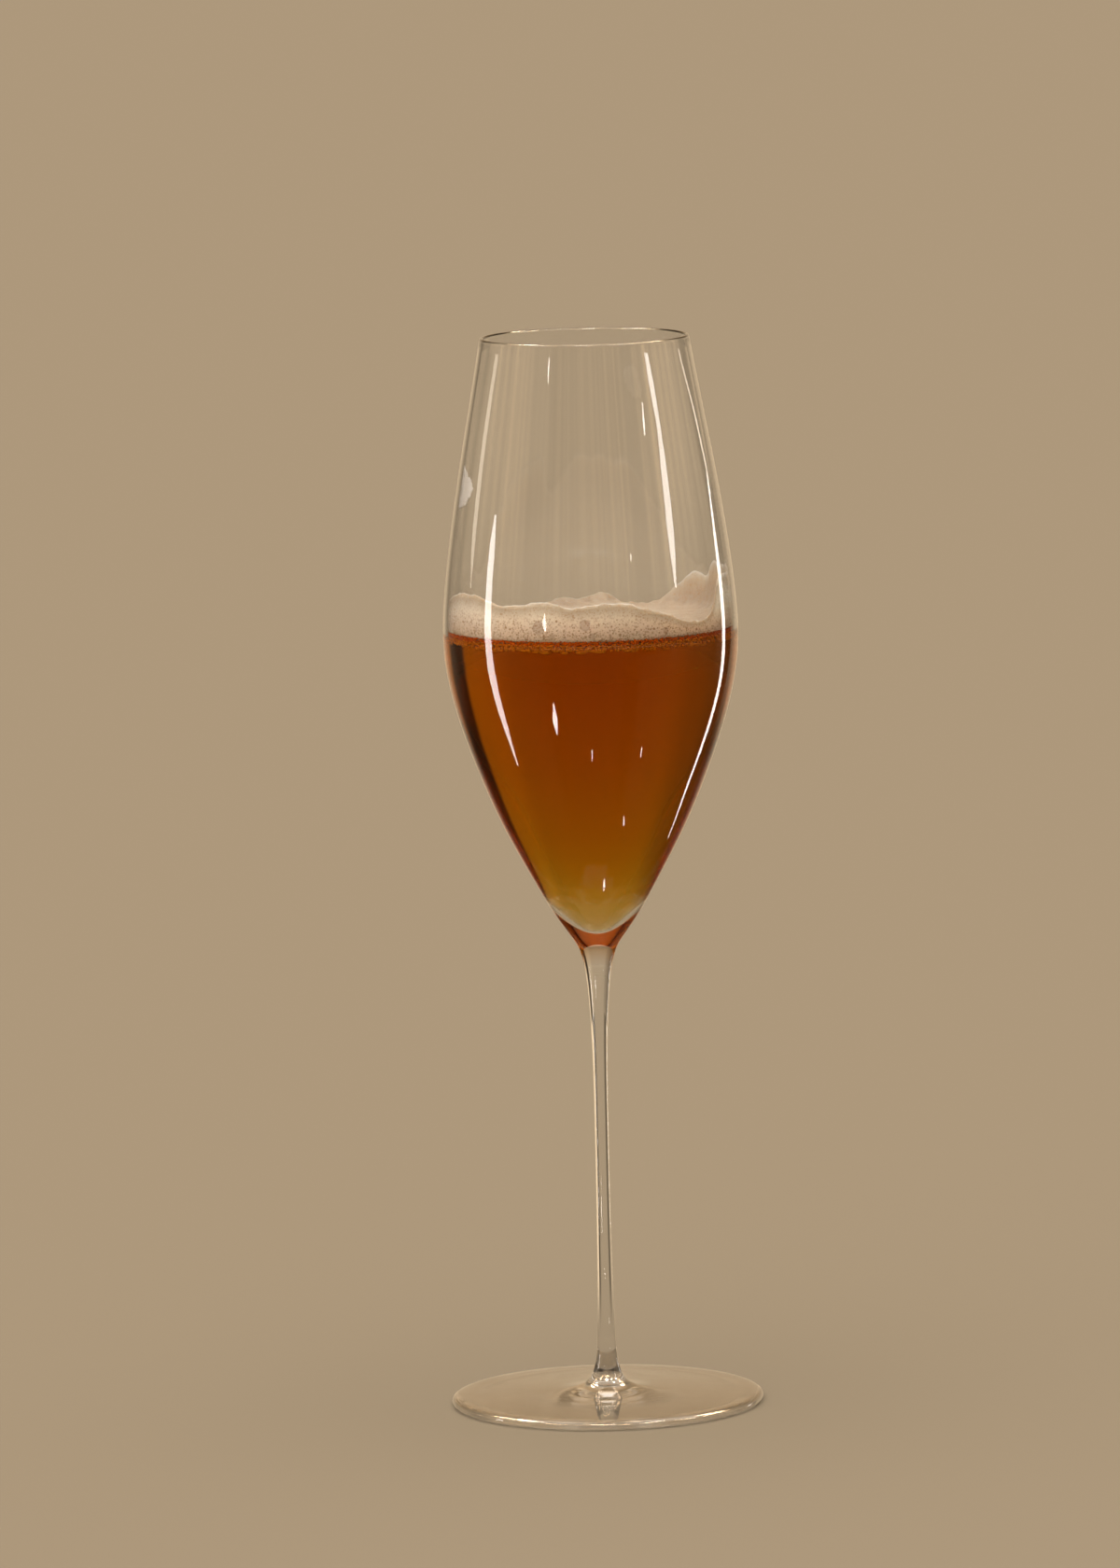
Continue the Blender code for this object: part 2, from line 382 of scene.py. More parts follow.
# bubbles wetted by the tea: brown, brighter below where light comes through ("glow")
amber_froth, tree, shader = material("amber_froth", Roughness=0.3, IOR=1.33)
shader.inputs["Specular IOR Level"].default_value = 0.05
tree.links.new(mix_color(tree, attribute(tree, "glow"), (0.46, 0.066, 0.001), (1.0, 0.37, 0.015)),
               shader.inputs["Base Color"])

# the thin flake: fine cells, a little see-through
thin_cream, tree, shader = material("foam_patch_cream", Base_Color=(0.95, 0.88, 0.80, 1),
                                    Roughness=0.45, IOR=1.33, Alpha=0.85)
cells = node(tree, "ShaderNodeTexVoronoi", Scale=1800.0)
tree.links.new(object_place(tree), cells.inputs["Vector"])
bumped(tree, shader, cells.outputs["Distance"], 0.6, 0.0001)

# ---------------------------------------------------------------- glass
INNER = inner_line(0.8)
inner_z, inner_r = np.array([p for p in INNER if p[0] > CUP_Z + 1]).T


def inside(z):
    return np.interp(z, inner_z, inner_r)


STEM_Z, STEM_R = FOOT[-1]
foot_line = through(FOOT, 0.9, before=(FOOT[0][0], -FOOT[1][1]), after=OUTER[0])
foot_line = [(max(z, 0.0), r) for z, r in foot_line[:-1]]
lip = 0.5 * LIP_T
lip_line = [(HEIGHT - lip * (1 - math.sin(a)), LIP_R - lip * (1 - math.cos(a)))
            for a in np.linspace(0.12, math.pi - 0.12, 13)]
outer_z = np.concatenate([np.arange(15.6, 100, 1.6), np.arange(100, 120, 0.6),
                          np.arange(120, HEIGHT - 0.5, 1.1)])
glass_line = (foot_line + [(STEM_Z, STEM_R)] + [(z, float(outer(z))) for z in outer_z]
              + lip_line + INNER[::-1])
glass = mesh_object("glass_blown", *lathe(glass_line, GLASS_SIDES))
glass.data.materials.append(clear)
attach(glass, "root")
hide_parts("glass")

# ---------------------------------------------------------------- tea
INTO_WALL = 0.14            # mm, how far the tea reaches into the wall, so that no air shows
TEA_TOP = 180.25            # mm, where the tea ends against the wall
AIR_BUBBLES = 170
AIR_LOWEST, AIR_HIGHEST = 118, 178      # mm
AIR_GAP = 0.3               # mm, least tea between a bubble and the inside of the glass
rng = np.random.default_rng(7)
line = [p for p in offset(INNER, -INTO_WALL) if p[0] < TEA_TOP - 0.3]
edge_r = float(inside(TEA_TOP)) + INTO_WALL
tea_line = line + [(TEA_TOP, edge_r), (TEA_TOP, edge_r - 0.5), (LEVEL, edge_r - 1.6), (LEVEL, 0.0)]
verts, faces = lathe(tea_line, TEA_SIDES)
verts, count = [verts], len(verts)

# small air bubbles that rise through the tea or, each third one, cling to the wall: spheres whose
# faces point at their middles
for k in range(AIR_BUBBLES):
    z = rng.uniform(AIR_LOWEST, AIR_HIGHEST)
    grown = (z - AIR_LOWEST) / (AIR_HIGHEST - AIR_LOWEST)
    r = rng.uniform(0.06, 0.16) * (0.7 + 0.5 * grown)
    reach = inside(z) - r - AIR_GAP
    rho = reach - 0.05 if k % 3 == 0 else reach * math.sqrt(rng.uniform(0.02, 0.95))
    verts.append(bearing(rng.uniform(-math.pi, math.pi), rho, z) + BALL * r * MM)
    faces += [[count + i for i in f[::-1]] for f in BALL_FACES]
    count += len(BALL)
tea = mesh_object("tea_with_bubbles", np.concatenate(verts), faces)
tea.data.materials.append(amber)
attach(tea, "root")
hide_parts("tea")

# ---------------------------------------------------------------- foam
FOAM_BASE = 179.9           # mm, sunk a little into the tea
FOAM_GAP = 0.05             # mm, air left to the wall
FLAT_R = 32.6               # mm, radius on which the foam's wall is laid out flat
ROUND = 2 * math.pi * FLAT_R
SEAM = 3.0                  # mm, how far the flat layout is repeated past its ends
PIT = 0.16                  # mm, depth of the creases between bubbles, at the tea
DISH = 0.30                 # mm, depth of a large bubble
DRAWN_BACK = 0.9            # mm, how far the lowest edge stands back from the wall
phi = np.arange(FOAM_SIDES) * (2 * math.pi / FOAM_SIDES)
tops = sorted(FOAM_TOP)
wrapped = ([(p - 360, h) for p, h in tops[-4:]] + tops + [(p + 360, h) for p, h in tops[:4]])
degrees = (np.degrees(phi) + 180) % 360 - 180
ripple = sum(a * np.sin(k * phi + s) for k, a, s in
             ((13, 0.16, 0.3), (22, 0.12, 1.9), (37, 0.09, 4.0), (61, 0.06, 2.2), (97, 0.04, 5.1)))
top = LEVEL + spline(wrapped, degrees) + ripple

# middles of the bubbles that show through the wall, coarse at the tea and fine above
seeds, z = [], 180.1
while z < 195.5:
    size = float(np.interp(z, [180, 181.2, 183.5, 187, 196], [0.85, 0.62, 0.5, 0.38, 0.34]))
    n = int(round(2 * math.pi * inside(z) / size))
    a = (np.arange(n) + rng.uniform(-0.33, 0.33, n) + rng.uniform(0, 1)) * (2 * math.pi / n)
    h = z + rng.uniform(-0.3, 0.3, n) * size
    seeds.append(np.stack([a * FLAT_R, h], -1))
    z += 0.87 * size
seeds = np.concatenate(seeds)
# lone large bubbles: bearing in degrees, height, radius in mm
LARGE = [(-20.8, 184.4, 1.45), (-2.2, 185.0, 1.2), (-15.5, 182.0, 0.85), (0.6, 182.4, 0.8),
         (31.0, 183.0, 0.7), (-52.0, 183.2, 0.6), (-88.0, 184.0, 0.8), (96.0, 185.5, 0.9),
         (158.0, 182.2, 0.9), (-140.0, 181.6, 0.7)]
large = [(math.radians(p) * FLAT_R, h, r) for p, h, r in LARGE]
for x, h, r in large:
    seeds = seeds[np.hypot(seeds[:, 0] - x % ROUND, seeds[:, 1] - h) > r]
# the same again past the seam, so that the pattern closes
again = np.concatenate([seeds[seeds[:, 0] < SEAM] + (ROUND, 0),
                        seeds[seeds[:, 0] > ROUND - SEAM] - (ROUND, 0)])
bubbles = KDTree(len(seeds) + len(again))
for i, (x, h) in enumerate(np.concatenate([seeds, again])):
    bubbles.insert((x, h, 0), i)
bubbles.balance()


def between(x, h):
    """0 in the middle of the nearest bubble, 1 on the edge between two."""
    (_, _, a), (_, _, b) = bubbles.find_n((x, h, 0), 2)
    return 2 * a / (a + b + 1e-9)


rings, looks = [], {"edge": [], "wet": [], "top": [], "under": []}


def ring(points, **values):
    """Adds a ring to the foam, with its values for the material."""
    rings.append(points)
    for name, listed in looks.items():
        listed.append(np.broadcast_to(values.get(name, 0.0), FOAM_SIDES))


for share in (0.4, 0.8, 0.96):                      # underside, from near the middle outwards
    # wet below zero leaves the underside pale and without spots: painted light, for light that comes
    # down through the foam
    ring(bearing(phi, share * (inside(FOAM_BASE) - FOAM_GAP), FOAM_BASE), wet=-0.5, under=1.0)
for u in np.concatenate([[0.0], np.linspace(0.02, 1.0, 44)]):       # up the wall
    z = FOAM_BASE + u * (top - 0.25 - FOAM_BASE)
    crease = smoothstep(0.72, 1.0, np.array([between(a * FLAT_R, h) for a, h in zip(phi, z)]))
    sink = PIT * crease * np.interp(z, [180, 182, 186, 195], [1.0, 0.75, 0.4, 0.25])
    # darker between bubbles, in and round the large bubbles and in the lowest millimetre: partly the
    # tea's brown held there, partly painted shade in these creases and hollows
    brown_and_shade = crease * np.interp(z, [180, 181, 183.5, 188, 195], [0.9, 0.45, 0.14, 0.07, 0.03])
    for x, h, r in large:
        d = np.hypot((phi * FLAT_R - x + ROUND / 2) % ROUND - ROUND / 2, z - h) / r
        sink = np.where(d < 1, DISH * np.sqrt(np.clip(1 - d * d, 0, 1)), sink)
        brown_and_shade = np.where(d < 0.9, 0.30, np.where(d < 1.04, 0.42, brown_and_shade))
    # the lowest millimetre draws back behind the froth and darkens: partly the tea's brown, partly
    # painted shade
    sink = sink + DRAWN_BACK * (1 - smoothstep(180.7, 181.5, z))
    brown_and_shade = np.maximum(brown_and_shade, 0.9 * (1 - smoothstep(180.7, 181.4, z)))
    # at the upper rim the wall turns darker and browner ("edge", "wet"): painted shade over the
    # light that glows through the thin rim; the wall is also a little darker all over, and most near
    # its upper edge ("top"): painted shade
    ring(bearing(phi, inside(z) - FOAM_GAP - sink, z),
         edge=brown_and_shade + 0.5 * float(u > 0.99) + 0.2 * float(u > 0.96),
         wet=(np.interp(z, [180, 181.0, 182.0, 184.5, 188, 193], [1.0, 0.8, 0.6, 0.32, 0.05, -0.12])
              + 0.5 * float(u > 0.97)),
         top=0.17 + 0.78 * smoothstep(0.6, 1.0, u))
# from the upper edge inwards: mm from the wall, and how much of the edge's height over the middle
# is left there, as a rule and on the right, where the foam is a film that clings to the wall
film = smoothstep(40, 62, degrees) * (1 - smoothstep(138, 156, degrees))
for into, left, left_film in (
        (0.12, 0.985, 0.98), (0.4, 0.96, 0.90), (0.8, 0.90, 0.74), (1.3, 0.80, 0.52),
        (1.9, 0.67, 0.32), (2.6, 0.52, 0.17), (3.4, 0.37, 0.09), (4.4, 0.24, 0.05),
        (5.6, 0.14, 0.03), (7.0, 0.08, 0.02), (8.6, 0.04, 0.01), (10.4, 0.02, 0.0), (12.6, 0, 0),
        (15.0, 0, 0), (18.0, 0, 0), (21.5, 0, 0), (25.5, 0, 0), (29.5, 0, 0)):
    sway = 0.5 * np.sin(3 * phi + 0.7) + 0.35 * np.sin(5 * phi)
    mid = LEVEL + FOAM_MID + sway * max(0.0, 1 - into / 30)
    z = mid + (left * (1 - film) + left_film * film) * (top - mid)
    r = inside(z) - FOAM_GAP - into
    lumps = (0.10 * np.sin(r * 1.9 + 3 * np.sin(7 * phi)) * np.cos(9 * phi + r)
             + 0.22 * np.sin(41 * phi + 2 * r) * np.sin(23 * phi - 3.1 * r))
    # painted shade on the upper surface ("top")
    ring(bearing(phi, r, z + min(1, into) * lumps), edge=0.04, wet=0.16, top=0.9)
faces = []
for k in range(len(rings) - 1):
    faces += ring_faces(k * FOAM_SIDES, (k + 1) * FOAM_SIDES, FOAM_SIDES)
n, last = len(rings) * FOAM_SIDES, (len(rings) - 1) * FOAM_SIDES
pts = np.concatenate(rings + [bearing(np.zeros(1), 0.0, FOAM_BASE),
                              bearing(np.zeros(1), 0.0, LEVEL + FOAM_MID)])
faces += [[n, (i + 1) % FOAM_SIDES, i] for i in range(FOAM_SIDES)]
faces += [[last + i, last + (i + 1) % FOAM_SIDES, n + 1] for i in range(FOAM_SIDES)]
foam = mesh_object("foam_head", pts, faces)
for name, listed in looks.items():
    point_values(foam, name, listed + [[listed[0][0], listed[-1][0]]])
foam.data.materials.append(cream)
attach(foam, "root")
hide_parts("foam")

# ---------------------------------------------------------------- amber froth between tea and foam
# rows of bubbles: height, mm apart, smallest and largest radius
FROTH_ROWS = ((181.05, 0.60, 0.20, 0.34), (180.75, 0.62, 0.24, 0.40), (180.4, 0.7, 0.30, 0.48),
              (180.0, 0.8, 0.34, 0.56), (179.6, 0.9, 0.36, 0.60), (179.2, 1.1, 0.34, 0.62))
FROTH_THICK = 0.75          # a bubble's size across the wall, as a share of its size along it


def froth_bubbles():
    """(bearing, height, radius, flatness, width, how much of it glows) of each bubble."""
    for z, pitch, r0, r1 in FROTH_ROWS:
        n = int(2 * math.pi * BELLY_R / pitch)
        for k in range(n):
            yield (2 * math.pi * (k + rng.uniform(-0.4, 0.4)) / n, z + rng.uniform(-0.25, 0.25),
                   rng.uniform(r0, r1), rng.uniform(0.6, 0.95), 1.0, rng.uniform(0, 1) ** 2)
    for _ in range(80):                             # wide flat ones that hang lowest
        yield (rng.uniform(-math.pi, math.pi), rng.uniform(178.75, 179.2), rng.uniform(0.6, 0.95),
               rng.uniform(0.35, 0.5), rng.uniform(1.0, 1.7), rng.uniform(0.5, 1))


verts, faces, glow = [], [], []
for k, (a, z, r, flat, wide, bright) in enumerate(froth_bubbles()):
    along = np.array([math.cos(a), math.sin(a), 0])
    outward = np.array([math.sin(a), -math.cos(a), 0])
    upward = np.array([0, 0, 1])
    middle = bearing(a, inside(z) - FOAM_GAP - FROTH_THICK * r, z)
    verts.append(middle + MM * r * (wide * BALL[:, :1] * along + FROTH_THICK * BALL[:, 1:2] * outward
                                    + flat * BALL[:, 2:] * upward))
    faces += [[k * len(BALL) + i for i in f] for f in BALL_FACES]
    lit_below = bright * smoothstep(0.25, 0.85, -BALL[:, 2])
    glow.append(np.clip(lit_below + 0.3 * float(z < 180.3), 0, 1))
froth = mesh_object("froth_ring", np.concatenate(verts), faces)
point_values(froth, "glow", glow)
froth.data.materials.append(amber_froth)
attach(froth, "root")

# ---------------------------------------------------------------- foam left high on the wall
FLAKE_GAP = 0.06            # mm, air left to the wall
# share of the way from the flake's middle to its edge, and its thickness there in mm
PLY = ((0.15, 0.45), (0.35, 0.5), (0.55, 0.42), (0.75, 0.46), (0.9, 0.34), (1.0, 0.14))
patch = np.array(PATCH, float)
middle = patch.mean(axis=0)
loop = np.array(through([tuple(p) for p in patch] + [tuple(patch[0])], 0.6,
                        before=patch[-1], after=patch[1]))[:-1]
n = len(loop)
i = np.arange(n)
loop = middle + (loop - middle) * (1 + 0.05 * np.sin(i * 1.7) + 0.04 * np.sin(i * 0.61 + 1))[:, None]


def on_wall(at, depth):
    """Points at (bearing in degrees, height), so deep inside the wall."""
    return bearing(np.radians(at[..., 0]), inside(at[..., 1]) - FLAKE_GAP - depth, at[..., 1])


verts, faces = [], []
for back in (False, True):
    for share, thick in PLY:
        at = middle + share * (loop - middle)
        uneven = 1 + 0.2 * np.sin(at[:, 0] * 1.3 + at[:, 1] * 2.1)
        verts.append(on_wall(at, thick * uneven if back else 0.02))
edge_row, back_row = (len(PLY) - 1) * n, len(PLY) * n
for k in range(len(PLY) - 1):
    faces += ring_faces(k * n, (k + 1) * n, n, flip=True)
    faces += ring_faces(back_row + k * n, back_row + (k + 1) * n, n)
faces += ring_faces(edge_row, back_row + edge_row, n, flip=True)
tip = 2 * back_row
verts = np.concatenate(verts + [[on_wall(middle, 0.02)], [on_wall(middle, 0.46)]])
faces += [[tip, i, (i + 1) % n] for i in range(n)]
faces += [[tip + 1, back_row + (i + 1) % n, back_row + i] for i in range(n)]
flake = mesh_object("foam_flake", verts, faces)
flake.data.materials.append(thin_cream)
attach(flake, "root")
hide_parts("foam_patch")

# ---------------------------------------------------------------- floor
PALE = np.array([0.42, 0.315, 0.20])            # what the lit floor and the horizon show
FLOOR_LIGHT = np.array([2.79, 2.605, 2.356])    # light that falls on the floor from this world
FLOOR_R, FLOOR_CORNERS = 60, 48                 # m
BEHIND_EYE = 0.05           # share of the light left in mirror images of what lies to the front
# what the glass bends or mirrors of the room at either side: (direction's x, share of the light)
SIDES = [(-1.0, 2.4), (-0.92, 2.2), (-0.84, 1.2), (-0.78, 0.40), (-0.6, 0.55), (-0.45, 0.72),
         (-0.28, 1.0), (0.28, 1.0), (0.42, 1.25), (0.58, 1.25), (0.63, 0.12), (0.76, 0.12),
         (0.82, 1.5), (0.90, 2.4), (1.0, 3.2)]
# the same for the floor that shows in the stem
NEAR_SIDES = [(-1.0, 1.4), (-0.70, 1.7), (-0.63, 1.0), (-0.59, 0.3), (-0.44, 0.35), (-0.36, 0.9),
              (-0.28, 1.0), (0.28, 1.0), (0.40, 0.9), (0.46, 0.2), (0.58, 0.2), (0.63, 1.6),
              (0.68, 2.8), (0.90, 2.8), (1.0, 2.0)]


def unscattered(tree):
    """1 for light that no matt surface has scattered on its way."""
    rays = node(tree, "ShaderNodeLightPath")
    return math_node(tree, "LESS_THAN", rays.outputs["Diffuse Depth"], 0.5)


def mirror_share(tree, y, near, far, share):
    """1, but the share where the glass mirrors, once, what lies to the front: in full where the
    direction's y is under near, not at all where it is over far."""
    rays = node(tree, "ShaderNodeLightPath")
    once = math_node(tree, "COMPARE", rays.outputs["Glossy Depth"], 1.0, 0.5)
    shallow = math_node(tree, "LESS_THAN", rays.outputs["Transmission Depth"], 4.5)
    dim = math_node(tree, "MULTIPLY", once, shallow)
    dim = math_node(tree, "MULTIPLY", dim, unscattered(tree))
    dim = math_node(tree, "MULTIPLY", dim, map_range(tree, y, near, far, 1.0, 0.0))
    loss = math_node(tree, "SUBTRACT", 1.0, share)
    return math_node(tree, "SUBTRACT", 1.0, math_node(tree, "MULTIPLY", dim, loss))


def side_share(tree, x, amount, sides):
    """Share of the light that reaches the glass from each side, and 1 for rays that aren't bent."""
    shares = color_ramp(tree, math_node(tree, "MULTIPLY_ADD", x, 0.5, 0.5),
                        [(0.5 * (at + 1), (share, share, share)) for at, share in sides], "EASE")
    rays = node(tree, "ShaderNodeLightPath")
    bent = math_node(tree, "SUBTRACT", unscattered(tree), rays.outputs["Is Camera Ray"], clamp=True)
    bent = math_node(tree, "MULTIPLY", bent, amount)
    more = math_node(tree, "SUBTRACT", shares, 1.0)
    return math_node(tree, "MULTIPLY_ADD", more, bent, 1.0)


albedo = PALE / FLOOR_LIGHT
floor_mat, tree, shader = material("floor_plain", Base_Color=(*albedo, 1), Roughness=0.6)
shader.inputs["Specular IOR Level"].default_value = 0.0
place = object_place(tree)
split = node(tree, "ShaderNodeSeparateXYZ")
bound = node(tree, "ShaderNodeVectorMath", operation="NORMALIZE")
away = node(tree, "ShaderNodeVectorMath", operation="LENGTH")
tree.links.new(place, bound.inputs[0])
tree.links.new(bound.outputs["Vector"], split.inputs["Vector"])
tree.links.new(place, away.inputs[0])
metres = away.outputs["Value"]
# the floor's colour carries painted light and shade: darker where the glass mirrors it once from the
# front, and lighter or darker by side where the glass bends it, standing in for the room
floor_painted_light = mirror_share(tree, split.outputs["Y"], 0.85, 1.0, BEHIND_EYE)
near_by = math_node(tree, "MULTIPLY", map_range(tree, metres, 0.06, 0.16),
                    math_node(tree, "LESS_THAN", metres, 1.0))
for amount, sides in ((near_by, NEAR_SIDES), (map_range(tree, metres, 0.9, 1.15), SIDES)):
    floor_painted_light = math_node(tree, "MULTIPLY", floor_painted_light,
                            side_share(tree, split.outputs["X"], amount, sides))
tree.links.new(scaled(tree, albedo, floor_painted_light), shader.inputs["Base Color"])
turns = np.arange(FLOOR_CORNERS) * (2 * math.pi / FLOOR_CORNERS)
around = [(FLOOR_R * math.cos(a), FLOOR_R * math.sin(a), 0) for a in turns]
floor = mesh_object("floor", around, [list(range(FLOOR_CORNERS))], False)
floor.location.z = -0.0002
floor.data.materials.append(floor_mat)
floor.visible_glossy = False

# ---------------------------------------------------------------- light
# a soft room: pale at the horizon, with a large softbox at the upper left of the front and a light
# overhead
SOFTBOX, OVERHEAD = (2.3, 2.18, 2.02), (8.0, 7.6, 7.07)
BOX_TURN, BOX_UP = math.radians(34), math.radians(30)
BOX_TO = Vector((-math.sin(BOX_TURN) * math.cos(BOX_UP), -math.cos(BOX_TURN) * math.cos(BOX_UP),
                 math.sin(BOX_UP)))
world = bpy.data.worlds.new("soft_room")
bpy.context.scene.world = world
world.use_nodes = True
tree = world.node_tree
coords = node(tree, "ShaderNodeTexCoord")
split = node(tree, "ShaderNodeSeparateXYZ")
tree.links.new(coords.outputs["Generated"], split.inputs["Vector"])
to_x, to_y, to_z = (split.outputs[axis] for axis in "XYZ")
room = color_ramp(tree, to_z, [(0.0, PALE), (0.35, 0.86 * PALE), (0.7, (0.8, 0.72, 0.6)),
                               (1.0, (1.2, 1.12, 1.0))])
facing = node(tree, "ShaderNodeVectorMath", operation="DOT_PRODUCT")
facing.inputs[1].default_value = BOX_TO
tree.links.new(coords.outputs["Generated"], facing.inputs[0])
lobe = math_node(tree, "POWER", math_node(tree, "MAXIMUM", facing.outputs["Value"], 0.0), 4.0)
above = math_node(tree, "POWER", math_node(tree, "MAXIMUM", to_z, 0.0), 8.0)
room = added(tree, room, scaled(tree, SOFTBOX, lobe))
room = added(tree, room, scaled(tree, OVERHEAD, above))
back = tree.nodes["Background"]
tree.links.new(room, back.inputs["Color"])

# what the lens sees directly or in the glass is calmer: the horizon's tone, darker upwards
calm = color_ramp(tree, to_z, [
    (0.0, PALE), (0.08, PALE), (0.2, PALE * (0.92, 0.84, 0.75)), (0.35, PALE * (0.82, 0.70, 0.55)),
    (0.6, PALE * (0.6, 0.52, 0.42)), (1.0, (0.23, 0.22, 0.205))])
rays = node(tree, "ShaderNodeLightPath")
straight = math_node(tree, "ADD", rays.outputs["Is Glossy Ray"], rays.outputs["Is Transmission Ray"],
                     clamp=True)
seen = math_node(tree, "MAXIMUM", math_node(tree, "MULTIPLY", straight, unscattered(tree)),
                 rays.outputs["Is Camera Ray"])
# upright bands, as of a curtain, that the bowl mirrors faintly
compass = math_node(tree, "ARCTAN2", to_x, to_y)
folds = node(tree, "ShaderNodeTexNoise", noise_dimensions="1D", Scale=7.0, Detail=3.0, Roughness=0.7)
tree.links.new(compass, folds.inputs["W"])
folded = math_node(tree, "MULTIPLY", folds.outputs["Fac"], folds.outputs["Fac"])
folded = math_node(tree, "MULTIPLY", folded, 3.4)
folded = math_node(tree, "MULTIPLY", folded, map_range(tree, to_z, 0.0, 0.2, BEHIND_EYE, 1.0))
strength = math_node(tree, "MULTIPLY", mirror_share(tree, to_y, 0.4, 0.8, folded),
                     side_share(tree, to_x, 1.0, SIDES))
# the glass's outer surface mirrors little of what is below the horizon
surface = math_node(tree, "LESS_THAN", rays.outputs["Transmission Depth"], 0.5)
surface = math_node(tree, "MULTIPLY", surface, rays.outputs["Is Glossy Ray"])
kept = math_node(tree, "MULTIPLY_ADD", surface, map_range(tree, to_z, -0.35, -0.16, -0.88, 0.0), 1.0)
strength = math_node(tree, "MULTIPLY", strength, kept)
# the ceiling light in the rim and the foot
ceiling = map_range(tree, to_z, 0.55, 0.85, 0.0, 4.0)
strength = math_node(tree, "ADD", strength, ceiling)
# lamps on the ceiling, though none straight above, that the outer surface mirrors
patches = node(tree, "ShaderNodeTexNoise", Scale=5.0, Detail=0.0)
tree.links.new(coords.outputs["Generated"], patches.inputs["Vector"])
lamps = math_node(tree, "MULTIPLY", map_range(tree, patches.outputs["Fac"], 0.61, 0.69, 1.5, 80.0),
                  ceiling)
lamps = math_node(tree, "MULTIPLY", lamps, map_range(tree, to_z, 0.86, 0.95, 1.0, 0.0))
strength = math_node(tree, "ADD", strength, math_node(tree, "MULTIPLY", lamps, surface))
# a brighter backdrop in the outlines of the glass and on its foot
glancing = map_range(tree, to_y, 0.8, 0.97, 0.0, 0.7)
strength = math_node(tree, "ADD", strength, math_node(tree, "MULTIPLY", glancing, surface))
calm_light = node(tree, "ShaderNodeBackground")
tree.links.new(calm, calm_light.inputs["Color"])
tree.links.new(strength, calm_light.inputs["Strength"])
choose = node(tree, "ShaderNodeMixShader")
tree.links.new(seen, choose.inputs["Fac"])
tree.links.new(back.outputs["Background"], choose.inputs[1])
tree.links.new(calm_light.outputs["Background"], choose.inputs[2])
tree.links.new(choose.outputs["Shader"], tree.nodes["World Output"].inputs["Surface"])

# ---------------------------------------------------------------- cards that the bowl mirrors
EYE = np.array([0.0, -2.2399, 0.4353])      # m, where the camera stands
CARD_STEPS, CARD_EVEN = 40, 7               # pieces of a card, and how many of them are evened out
CARD_LOWEST = 0.003                         # m


def emission(name, color, strength):
    lit = bpy.data.materials.new(name)
    lit.use_nodes = True
    t = lit.node_tree
    t.nodes.clear()
    e = node(t, "ShaderNodeEmission", Strength=strength)
    e.inputs["Color"].default_value = (*color, 1)
    t.links.new(e.outputs["Emission"], node(t, "ShaderNodeOutputMaterial").inputs["Surface"])
    return lit


def card(name, line, strength, far=1.5, color=(1, 0.96, 0.91)):
    """A lit card, seen only in reflections, bent so that from the front it shows in the bowl along
    a line of (height mm, bearing, width, both in degrees). It is far from the bowl, in metres, but
    nearer where it would go below the floor."""
    z, turn, width = np.array(line, float).T
    at = np.linspace(z[0], z[-1], CARD_STEPS)
    turn, width = (np.convolve(np.pad(np.interp(-at, -z, v), CARD_EVEN // 2, mode="edge"),
                               np.full(CARD_EVEN, 1 / CARD_EVEN), "valid") for v in (turn, width))
    pts, quads = [], []
    for k, (h, a, w) in enumerate(zip(at, turn, width)):
        lean = float(outer(h + 0.2) - outer(h - 0.2)) / 0.4
        for s in (-0.5, 0.5):
            phi = math.radians(a + s * w)
            q = bearing(phi, outer(h), h)
            n = np.array([math.sin(phi), -math.cos(phi), -lean])
            n /= np.linalg.norm(n)
            d = (q - EYE) / np.linalg.norm(q - EYE)
            r = d - 2 * (d @ n) * n
            go = far / math.hypot(r[0], r[1])
            if q[2] + go * r[2] < CARD_LOWEST:
                go = (q[2] - CARD_LOWEST) / -r[2]
            pts.append(q + go * r)
        if k:
            quads.append([2 * k - 2, 2 * k - 1, 2 * k + 1, 2 * k])
    ob = mesh_object(name, pts, quads, False)
    ob.data.materials.append(emission(name, color, strength))
    ob.visible_camera = ob.visible_diffuse = ob.visible_shadow = ob.visible_transmission = False


card("card_left", [(209.5, -43.1, 0.2), (206, -43.4, 2.6), (199, -43.7, 3.1), (190, -43.9, 3.3),
                   (180, -43.6, 3.5), (170, -41.8, 3.4), (162, -40, 3.0), (152, -37.8, 0.3)], 13,
     color=(1, 0.93, 0.90))
card("card_right_back", [(218, 68.3, 0.2), (212, 66.8, 1.5), (205, 65.2, 2.3), (195.5, 64.7, 2.7),
                         (184.8, 63.8, 2.8), (175.7, 63.2, 2.7), (166.6, 62.6, 2.5),
                         (157.6, 60.1, 2.3), (148.6, 57.2, 2.1), (139.3, 55.8, 1.6),
                         (133, 57, 0.4)], 9, color=(1, 0.93, 0.87))
card("card_right_pale", [(247.4, 61.4, 0.9), (244, 61.6, 1.4), (231, 66.6, 1.7), (218, 68.5, 1.6),
                         (212, 67.6, 0.4)], 4.5, color=(1, 0.87, 0.72))
card("card_right", [(247.6, 34.6, 1.7), (238, 36.0, 3.2), (231, 36.9, 2.2), (228, 37.1, 1.6),
                    (224, 37.0, 3.1), (207.6, 36.6, 3.5), (198, 36.3, 2.3), (192.6, 36.2, 0.3)], 13,
     far=0.4, color=(1, 0.93, 0.88))
card("card_left_back", [(247.4, -54.0, 2.6), (236, -55.6, 3.0), (226.8, -56.3, 3.0),
                        (204.5, -55.9, 2.8), (198, -55.4, 1.6), (192.5, -55, 0.2)], 4,
     color=(1, 0.87, 0.70))
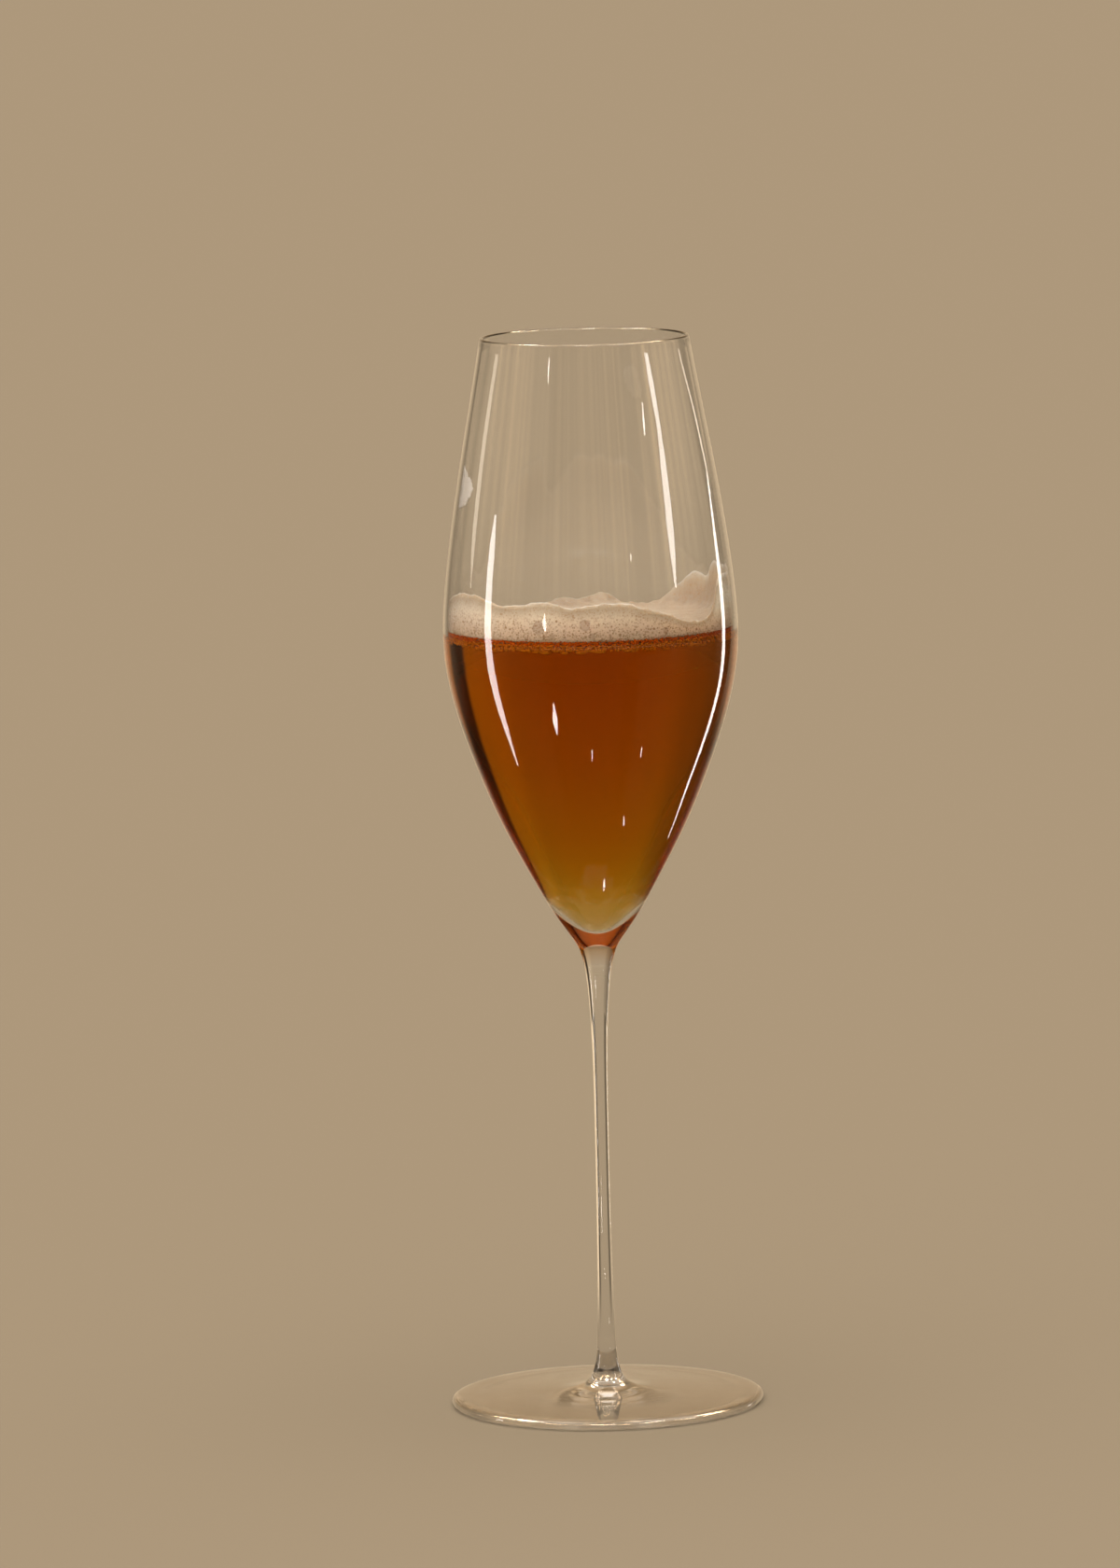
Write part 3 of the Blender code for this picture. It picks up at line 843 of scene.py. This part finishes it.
GLINTS = [
    [(245.6, -19.1, 0.3), (242.4, -19.2, 0.9), (239.4, -19.2, 0.3)],
    [(234.5, 29.3, 0.3), (230, 28.9, 1.1), (227.0, 28.7, 0.3)],
    [(201.3, 17.4, 0.2), (200.2, 17.2, 0.5), (199.0, 17.1, 0.15)],
    [(187.6, -17.9, 0.2), (185.8, -18.2, 1.5), (184.4, -17.9, 1.1), (183.6, -17.7, 0.2)],
    [(167.6, -15.6, 0.2), (163.2, -15.8, 2.3), (159.6, -15.3, 0.3)],
    [(156.2, -0.5, 0.2), (154.9, -0.5, 0.5), (153.6, -0.6, 0.2)],
    [(156.4, 21.9, 0.2), (155.0, 22.0, 0.5), (153.7, 22.1, 0.2)],
    [(139.7, 16.7, 0.3), (138.5, 16.9, 1.0), (137.4, 17.1, 0.3)],
    [(124.4, 6.9, 0.3), (122.8, 7.0, 2.0), (121.4, 7.1, 0.3)],
]
# the bowl is almost straight near the lip, so a card must be near to show there only once
NEAR_LIP = 220
for k, line in enumerate(GLINTS):
    card(f"card_glint_{k + 1}", line, 20, far=0.3 if line[0][0] > NEAR_LIP else 0.6)

# ---------------------------------------------------------------- camera
# how far it is turned to the right, tilted up and rolled
YAW, PITCH, ROLL = math.radians(-0.2006), math.radians(-7.393), math.radians(-1.3176)
cam = bpy.data.cameras.new("camera")
cam.sensor_fit, cam.sensor_height, cam.lens = "VERTICAL", 36.0, 225.06
cam.clip_end = 200
cam_ob = bpy.data.objects.new("camera", cam)
bpy.context.scene.collection.objects.link(cam_ob)
ahead = Vector((math.sin(YAW) * math.cos(PITCH), math.cos(YAW) * math.cos(PITCH), math.sin(PITCH)))
right = ahead.cross(Vector((0, 0, 1))).normalized()
up = right.cross(ahead)
right, up = (math.cos(ROLL) * right + math.sin(ROLL) * up,
             -math.sin(ROLL) * right + math.cos(ROLL) * up)
cam_ob.matrix_world = (Matrix.Translation(Vector(EYE))
                       @ Matrix((right, up, -ahead)).transposed().to_4x4())
bpy.context.scene.camera = cam_ob
bpy.context.scene.view_settings.view_transform = "Standard"
cycles = bpy.context.scene.cycles
cycles.max_bounces, cycles.transmission_bounces, cycles.glossy_bounces = 48, 32, 40
